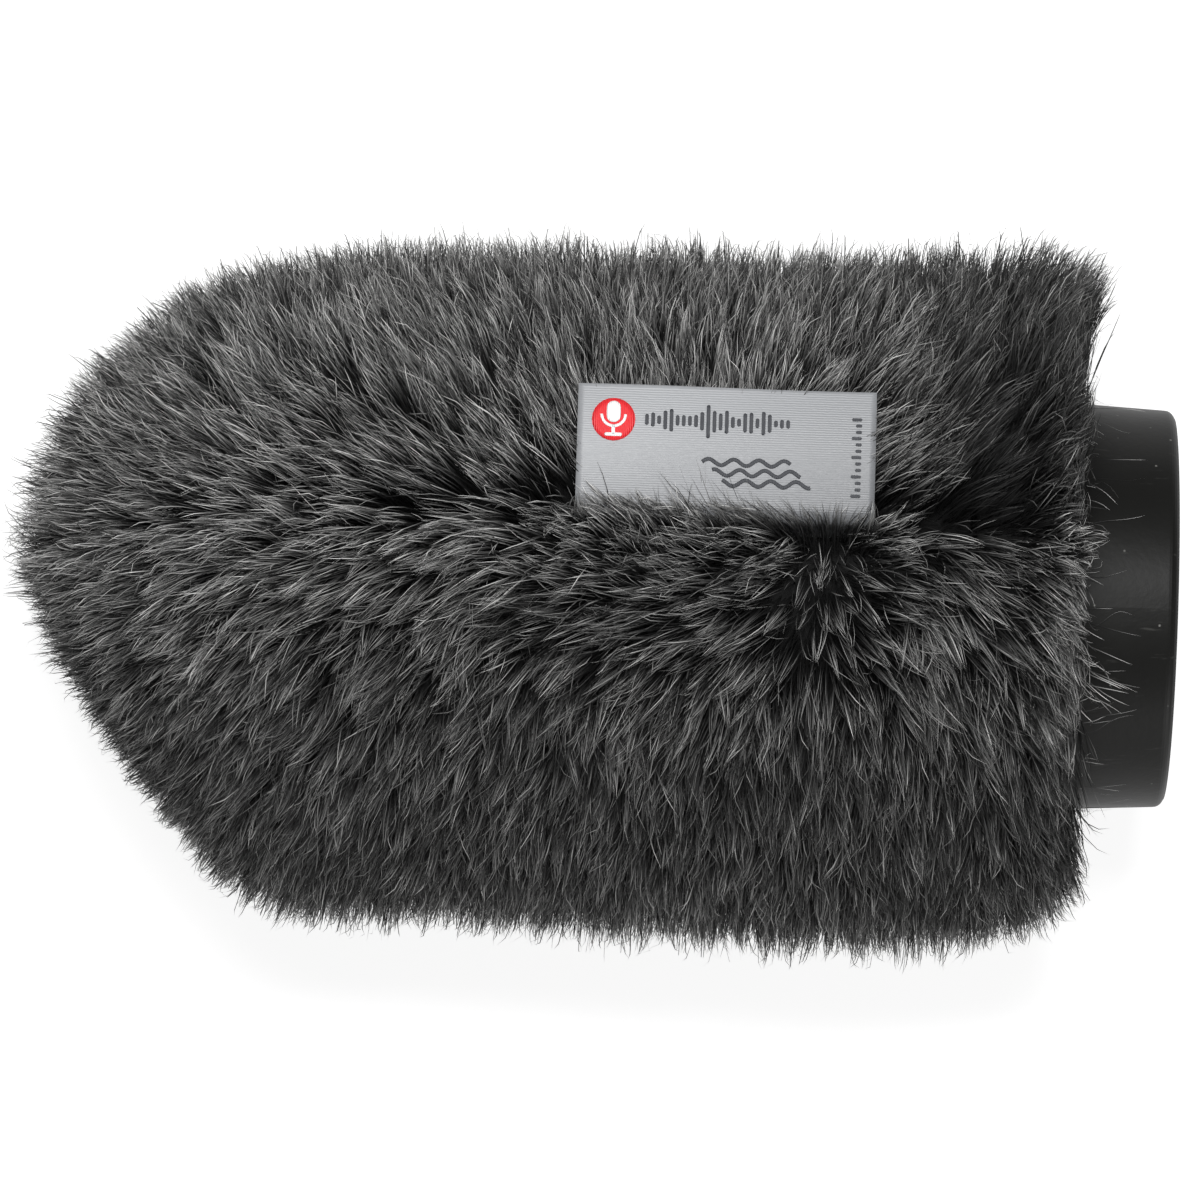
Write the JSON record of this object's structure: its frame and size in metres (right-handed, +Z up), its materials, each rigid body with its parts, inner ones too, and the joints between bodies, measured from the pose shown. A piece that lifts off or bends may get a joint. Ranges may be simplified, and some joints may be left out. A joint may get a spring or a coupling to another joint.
{
  "type": "furry microphone windscreen",
  "caption": "Slip-on long-pile fur windscreen for a short shotgun microphone: foam core with a blind slot, gripping rubber collar, sewn fur cover and a hinged woven label.",
  "frame": {"origin": "centre of the microphone bore's mouth, in the collar's rear face", "axes": "+X along the bore, out of its mouth, so the nose points to -X; +Z up, through the label's side, with the part lying on its belly"},
  "size_m": [0.1731, 0.104, 0.098],
  "materials": {
    "collar_rubber": "satin moulded",
    "elastic": "matt braided",
    "adhesive": "satin cured film",
    "foam": "matt open-cell",
    "fur": "long pile, grey tips over black",
    "thread": "matt spun",
    "label_satin": "woven satin",
    "label_red": "woven",
    "label_white": "woven",
    "label_ink": "woven"
  },
  "bodies": {
    "windscreen": {"end_collar": "collar_rubber", "hem_elastic": "elastic", "collar_bond": "adhesive", "foam_tube": "foam", "nose_bond": "adhesive", "foam_nose": "foam", "right_fur_panel": "fur", "left_fur_panel": "fur", "rear_fur_cuff": "fur", "panel_seam_thread": "thread", "cuff_seam_thread": "thread", "hem_thread": "thread", "label_root": "label_satin", "label_stitches": "thread"},
    "label": {"label_flap": "label_satin", "label_emblem": "label_red", "emblem_mark": "label_white", "label_legend": "label_ink"}
  },
  "joints": [
    {"name": "label_fold", "type": "hinge", "parent": "windscreen", "child": "label", "pos_m": [-0.068, 0.01191, 0.04443], "axis": [1, 0, 0], "range_deg": [0, 120]}
  ]
}
